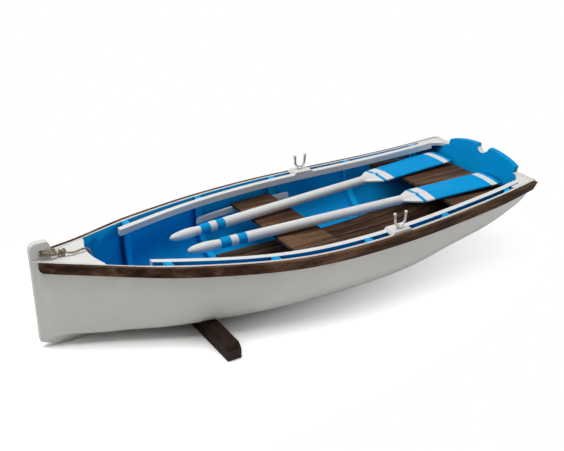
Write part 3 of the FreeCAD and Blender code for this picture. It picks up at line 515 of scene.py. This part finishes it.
# The node's mesh, merged, in a new bmesh in the row frame
def cadCopy(node):
    source = frame["nodes"][node]
    work = bmesh.new()
    work.from_mesh(source.data)
    work.transform(source.matrix_world)
    bmesh.ops.remove_doubles(work, verts=work.verts, dist=copies["merge"])
    return work


# Cut a mesh along a plane, and take off what lies past it if asked
def sliced(work, place, normal, takeOff=False):
    return bmesh.ops.bisect_plane(work, geom=work.verts[:] + work.edges[:] + work.faces[:],
                                  dist=copies["onPlane"], plane_co=place, plane_no=normal,
                                  clear_outer=takeOff)


def roundOver(work, edges, width, steps):
    bmesh.ops.bevel(work, geom=edges, offset=width, offset_type="OFFSET", affect="EDGES",
                    segments=steps, profile=0.5, material=-1, clamp_overlap=True)


def sharperThan(edge, angle):
    return len(edge.link_faces) == 2 and edge.calc_face_angle() > angle


# Round the sharp edges of a piece to the given width
def soften(work, width, flat=True):
    if flat:
        bmesh.ops.dissolve_limit(work, angle_limit=math.radians(copies["flatAngle"]),
                                 verts=work.verts, edges=work.edges)
    else:
        bmesh.ops.join_triangles(work, faces=work.faces,
                                 angle_face_threshold=math.radians(copies["pairAngle"]),
                                 angle_shape_threshold=math.radians(copies["pairShape"]))
    sharp = math.radians(copies["sharpAngle"])
    roundOver(work, [edge for edge in work.edges if sharperThan(edge, sharp)], width, copies["roundSteps"])


# Round a rail's forward end, seen from the side
def roundNose(work, radius):
    start = max(vertex.co.x for vertex in work.verts) - copies["noseReach"] * radius
    tilt = copies["noseTilt"] * radius
    across = [edge for edge in work.edges
              if all(vertex.co.x > start for vertex in edge.verts)
              and abs(edge.verts[0].co.z - edge.verts[1].co.z) < tilt
              and sharperThan(edge, copies["noseAngle"])]
    roundOver(work, across, radius, copies["noseSteps"])


# Keep a piece's top to the given depth
def keepTop(work, depth):
    level = max(vertex.co.z for vertex in work.verts) - depth
    cut = sliced(work, (0, 0, level), (0, 0, -1), takeOff=True)
    rim = [item for item in cut["geom_cut"] if isinstance(item, bmesh.types.BMEdge)]
    bmesh.ops.triangle_fill(work, edges=rim, use_beauty=True)
    bmesh.ops.recalc_face_normals(work, faces=work.faces[:])


def camel(node):
    first, *rest = node.split("_")
    return first + "".join(word.capitalize() for word in rest)


# Give the second finish to the faces that pass a test, and the first to the others
def divide(work, isSecond):
    for face in work.faces:
        face.material_index = 1 if isSecond(face) else 0


# Turn a bmesh into the piece that stands for a node; weighted evens out the shading of its faces
def finished(work, node, finishes, grainShift=(0, 0, 0), weighted=True):
    name = camel(node)
    mesh = bpy.data.meshes.new(name)
    work.to_mesh(mesh)
    work.free()
    for finish in finishes:
        mesh.materials.append(finish)
    mesh.shade_smooth()
    mesh.set_sharp_from_angle(angle=math.radians(copies["shadeAngle"]))
    shift = mesh.attributes.new("grainShift", "FLOAT_VECTOR", "POINT")
    for item in shift.data:
        item.vector = grainShift
    piece = bpy.data.objects.new(name, mesh)
    scene.collection.objects.link(piece)
    if weighted:
        even = piece.modifiers.new("evenShading", "WEIGHTED_NORMAL")
        even.keep_sharp = True
    return standFor(piece, node)


# Hull: white outside and on the planks' edges, blue inside
hull = {
    "edgeHeight": 30 * mm,     # plank edges lie above this, the blue bottom below it
    "edgeSlope": 0.6,
    "tiltShare": 0.5,          # how much an upward tilt counts as looking inwards
    "outwards": -0.05,
    "insideSlope": 0.3,        # keel, deadwood and apron are blue where they look up this much
}


def paintPlanking(side, way):
    def isInside(face):
        isEdge = face.normal.z > hull["edgeSlope"] and face.calc_center_median().z > hull["edgeHeight"]
        outwards = face.normal.y * way - face.normal.z * hull["tiltShare"]
        return not (isEdge or outwards > hull["outwards"])

    node = f"planking_{side}"
    work = cadCopy(node)
    divide(work, isInside)
    finished(work, node, [hullPaint, bluePaint], weighted=False)


for side, way in sides.items():
    paintPlanking(side, way)
for node in ("keel", "deadwood", "apron"):
    work = cadCopy(node)
    divide(work, lambda face: face.normal.z > hull["insideSlope"])
    finished(work, node, [hullPaint, bluePaint], weighted=False)

# Transom: blue inside and on the crown's edge
transom = {
    "inwards": Vector((0.9563, 0, 0.2924)),
    "softness": 0.25 * mm,
    "insideFacing": 0.9,
    "outsideFacing": -0.5,
    "notchHalf": 3.7 * mm,     # the sculling notch stays white inside
    "crownHalf": 27 * mm,
    "crownFoot": 36 * mm,      # the crown's edge is blue above this
}


def isTransomBlue(face):
    middle = face.calc_center_median()
    inwards = face.normal.dot(transom["inwards"])
    onCrown = (middle.z > transom["crownFoot"] and inwards > transom["outsideFacing"]
               and transom["notchHalf"] < abs(middle.y) < transom["crownHalf"])
    return inwards > transom["insideFacing"] or onCrown


work = cadCopy("transom")
soften(work, transom["softness"])
divide(work, isTransomBlue)
finished(work, "transom", [hullPaint, bluePaint])

# Stem, breasthook and ribs
bowAndRibs = {"stemSoftness": 0.35 * mm, "hookSoftness": 0.15 * mm,
              "ribs": ("bow", "fore", "middle", "aft", "stern")}
for node, width, finish in (("stem_post", bowAndRibs["stemSoftness"], hullPaint),
                            ("breasthook", bowAndRibs["hookSoftness"], whitePaint)):
    work = cadCopy(node)
    soften(work, width)
    finished(work, node, [finish])
# Ribs in the lighter blue, which is partly a painted highlight
for name in bowAndRibs["ribs"]:
    finished(cadCopy(f"rib_{name}"), f"rib_{name}", [ribPaint], weighted=False)
print("hull painted")

# Inwales with blue outer faces, risers, rowlock blocks, quarter knees, rubbing rails and rowlocks
trim = {
    "inwaleSoftness": 0.22 * mm,
    "inwaleOutwards": 0.6,
    "plateSoftness": 0.15 * mm,
    "blockDepth": 2.1 * mm,    # the blocks show as pads, as below this the inwales hide them
    "railNose": 1.0 * mm,
    "railSoftness": 0.25 * mm,
    "railGrain": (0.3, 0.11, 0.05),
}
for side, way in sides.items():
    node = f"inwale_{side}"
    work = cadCopy(node)
    soften(work, trim["inwaleSoftness"], flat=False)
    divide(work, lambda face: face.normal.y * way > trim["inwaleOutwards"])
    finished(work, node, [whitePaint, bluePaint])
    for kind in ("riser", "rowlock_block", "quarter_knee"):
        work = cadCopy(f"{kind}_{side}")
        if kind == "rowlock_block":
            keepTop(work, trim["blockDepth"])
        soften(work, trim["plateSoftness"], flat=kind != "riser")
        finished(work, f"{kind}_{side}", [whitePaint])
    node = f"rub_rail_{side}"
    work = cadCopy(node)
    roundNose(work, trim["railNose"])
    soften(work, trim["railSoftness"], flat=False)
    shiftX, shiftY, shiftZ = trim["railGrain"]
    finished(work, node, [railWalnut], grainShift=(shiftX * way, shiftY, shiftZ))
    node = f"rowlock_{side}"
    finished(cadCopy(node), node, [rowlockMetal], weighted=False)

# Thwart, seat, floorboards and stand bar
timbers = {
    "boardSoftness": 0.2 * mm,
    "grainStep": Vector((0.173, 0.071, 0.043)),
    "seats": ["thwart", "stern_seat"],
    "barSoftness": 0.35 * mm,
    "barEnd": 50 * mm,         # past this the bar's sawn ends show their end grain
    "endFacing": 0.9,
}


def isBarEnd(face):
    middle = face.calc_center_median()
    return abs(face.normal.y) > timbers["endFacing"] and abs(middle.y) > timbers["barEnd"]


boards = [f"floorboard_{side}_{number}" for side in sides for number in (1, 2, 3)]
for index, node in enumerate(timbers["seats"] + boards):
    isSeat = node in timbers["seats"]
    work = cadCopy(node)
    soften(work, timbers["boardSoftness"], flat=isSeat)
    finished(work, node, [walnut if isSeat else boardWalnut],
             grainShift=timbers["grainStep"] * (index + 1), weighted=isSeat)
work = cadCopy("stand_bar")
soften(work, timbers["barSoftness"])
divide(work, isBarEnd)
finished(work, "stand_bar", [darkWalnut, endGrain])
print("timber laid")

# Oars: white, with blue stripes at the handle and a blue blade with white bands
oar = {
    # distances from the handle's tip along the oar: where each blue stretch starts and ends
    "blue": [(15.9 * mm, 20.9 * mm), (24.5 * mm, 29.0 * mm), (124.0 * mm, 126.1 * mm),
             (131.2 * mm, 166.9 * mm), (170.8 * mm, 190 * mm)],
    "tipSlice": 0.6 * mm,
    "bladeSlice": 1.8 * mm,
}


# Handle's tip and the middle of the blade's end
def oarAxis(work):
    furthest = max(vertex.co.x for vertex in work.verts)
    aftmost = min(vertex.co.x for vertex in work.verts)
    tip = [vertex.co for vertex in work.verts if vertex.co.x > furthest - oar["tipSlice"]]
    end = [vertex.co for vertex in work.verts if vertex.co.x < aftmost + oar["bladeSlice"]]
    middle = [sum(axis) / len(axis) for axis in zip(*tip)]
    low = Vector([min(axis) for axis in zip(*end)])
    high = Vector([max(axis) for axis in zip(*end)])
    return Vector(middle), (low + high) / 2


def paintOar(node):
    work = cadCopy(node)
    tip, end = oarAxis(work)
    axis = (end - tip).normalized()

    def isBlue(face):
        reach = (face.calc_center_median() - tip).dot(axis)
        return any(start < reach < stop for start, stop in oar["blue"])

    for stretch in oar["blue"]:
        for reach in stretch:
            sliced(work, tip + axis * reach, axis)
    divide(work, isBlue)
    finished(work, node, [whitePaint, stripePaint], weighted=False)


for side in sides:
    paintOar(f"oar_{side}")
print("oars painted")

# Studio: pale floor that fades to white away from the boat, and a large soft light overhead
studio = {
    "worldStrength": 0.1,
    "glossStrength": 0.7,
    "seenStrength": 1,
    "floorSize": 8.0,
    "floorColor": (0.92, 0.92, 0.92, 1),
    "floorRoughness": 0.9,
    "seenColor": (1.9, 1.9, 1.885),     # what the camera sees of the same floor
    "shadowReach": 28 * mm,               # how far the painted contact shadow reaches from a close surface
    "shadowShare": 0.5,
    "shadowSamples": 8,
    "floorDrop": 0.05 * mm,
    "fadeCentre": (0.10, 0.0, 0),
    "fadeReach": (0.24, 0.10, 1.0),
    "fadeStart": 0.25,
    "fadeEnd": 1.1,
}
lights = [
    {"name": "keyLight", "power": 5.4, "place": Vector((0, 0, 1.0)), "size": 0.8},
    {"name": "frontLight", "power": 3.9, "place": Vector((0.45, -0.20, 0.78)), "size": 0.7},
    {"name": "fillLight", "power": 1.2, "place": Vector((-0.70, 0.70, 0.40)), "size": 0.6},
]


# The floor's own shader, with the one that the camera sees, which has a painted contact shadow from ambient
# occlusion
def litFloor(finish, rays, setup):
    finish.shader.inputs["Base Color"].default_value = setup["floorColor"]
    finish.constants(Roughness=setup["floorRoughness"], Specular_IOR_Level=0)
    seen = finish.add("BsdfDiffuse")
    # Painted shadow: the floor that the camera sees darkens where the boat is close above it
    aoShade = finish.add("AmbientOcclusion", samples=setup["shadowSamples"])
    aoShade.inputs["Distance"].default_value = setup["shadowReach"]
    aoShade.inputs["Color"].default_value = (*setup["seenColor"], 1)
    shade = finish.mix(setup["seenColor"], (aoShade, "Color"), setup["shadowShare"])
    finish.join(shade, mixed, seen, "Color")
    lit = finish.add("MixShader")
    finish.join(rays, "Is Camera Ray", lit, "Fac")
    finish.join(finish.shader, "BSDF", lit, 1)
    finish.join(seen, "BSDF", lit, 2)
    return lit


# How white the floor is to the camera: from none round the boat to all far from it
def floorFade(finish, rays, setup):
    near = finish.add("VectorMath", operation="SUBTRACT")
    near.inputs[1].default_value = setup["fadeCentre"]
    finish.join(finish.place, "Object", near, 0)
    spread = finish.add("VectorMath", operation="DIVIDE")
    spread.inputs[1].default_value = setup["fadeReach"]
    finish.join(near, "Vector", spread, 0)
    reach = finish.add("VectorMath", operation="LENGTH")
    finish.join(spread, "Vector", reach, 0)
    fade = finish.range(reach, "Value", 0, 1, setup["fadeStart"], setup["fadeEnd"])
    fade.interpolation_type = "SMOOTHSTEP"
    share = finish.add("Math", operation="MULTIPLY")
    finish.join(fade, "Result", share, 0)
    finish.join(rays, "Is Camera Ray", share, 1)
    return share


def makeFloor(setup):
    work = bmesh.new()
    bmesh.ops.create_grid(work, x_segments=1, y_segments=1, size=setup["floorSize"] / 2)
    bmesh.ops.translate(work, verts=work.verts, vec=(0, 0, -setup["floorDrop"]))
    mesh = bpy.data.meshes.new("studioFloor")
    work.to_mesh(mesh)
    work.free()
    finish = Finish("floorFinish")
    rays = finish.add("LightPath")
    lit = litFloor(finish, rays, setup)
    share = floorFade(finish, rays, setup)
    white = finish.add("Emission")
    white.inputs["Color"].default_value = (1, 1, 1, 1)
    blend = finish.add("MixShader")
    finish.join(share, "Value", blend, "Fac")
    finish.join(lit, "Shader", blend, 1)
    finish.join(white, "Emission", blend, 2)
    finish.join(blend, "Shader", finish.output, "Surface")
    mesh.materials.append(finish.material)
    floor = bpy.data.objects.new("studioFloor", mesh)
    scene.collection.objects.link(floor)


# White surroundings: faint as light, brighter in glossy reflections and full to the camera
def makeWorld(setup):
    world = bpy.data.worlds.new("studioWorld")
    world.use_nodes = True
    tree = world.node_tree
    tree.nodes.clear()
    output = tree.nodes.new("ShaderNodeOutputWorld")
    rays = tree.nodes.new("ShaderNodeLightPath")

    def background(strength):
        level = tree.nodes.new("ShaderNodeBackground")
        level.inputs["Color"].default_value = (1, 1, 1, 1)
        level.inputs["Strength"].default_value = strength
        return level

    last = background(setup["worldStrength"])
    for exit, key in (("Is Glossy Ray", "glossStrength"), ("Is Camera Ray", "seenStrength")):
        level = background(setup[key])
        blend = tree.nodes.new("ShaderNodeMixShader")
        tree.links.new(rays.outputs[exit], blend.inputs["Fac"])
        tree.links.new(last.outputs[0], blend.inputs[1])
        tree.links.new(level.outputs[0], blend.inputs[2])
        last = blend
    tree.links.new(last.outputs[0], output.inputs["Surface"])
    scene.world = world


def makeLight(setup):
    lamp = bpy.data.lights.new(setup["name"], "AREA")
    lamp.shape = "DISK"
    lamp.size = setup["size"]
    lamp.energy = setup["power"]
    light = bpy.data.objects.new(setup["name"], lamp)
    light.location = setup["place"]
    light.rotation_mode = "QUATERNION"
    light.rotation_quaternion = (-setup["place"]).to_track_quat("-Z", "Y")
    scene.collection.objects.link(light)


makeFloor(studio)
makeWorld(studio)
for setup in lights:
    makeLight(setup)
scene.view_settings.view_transform = "Standard"
print("studio lit")
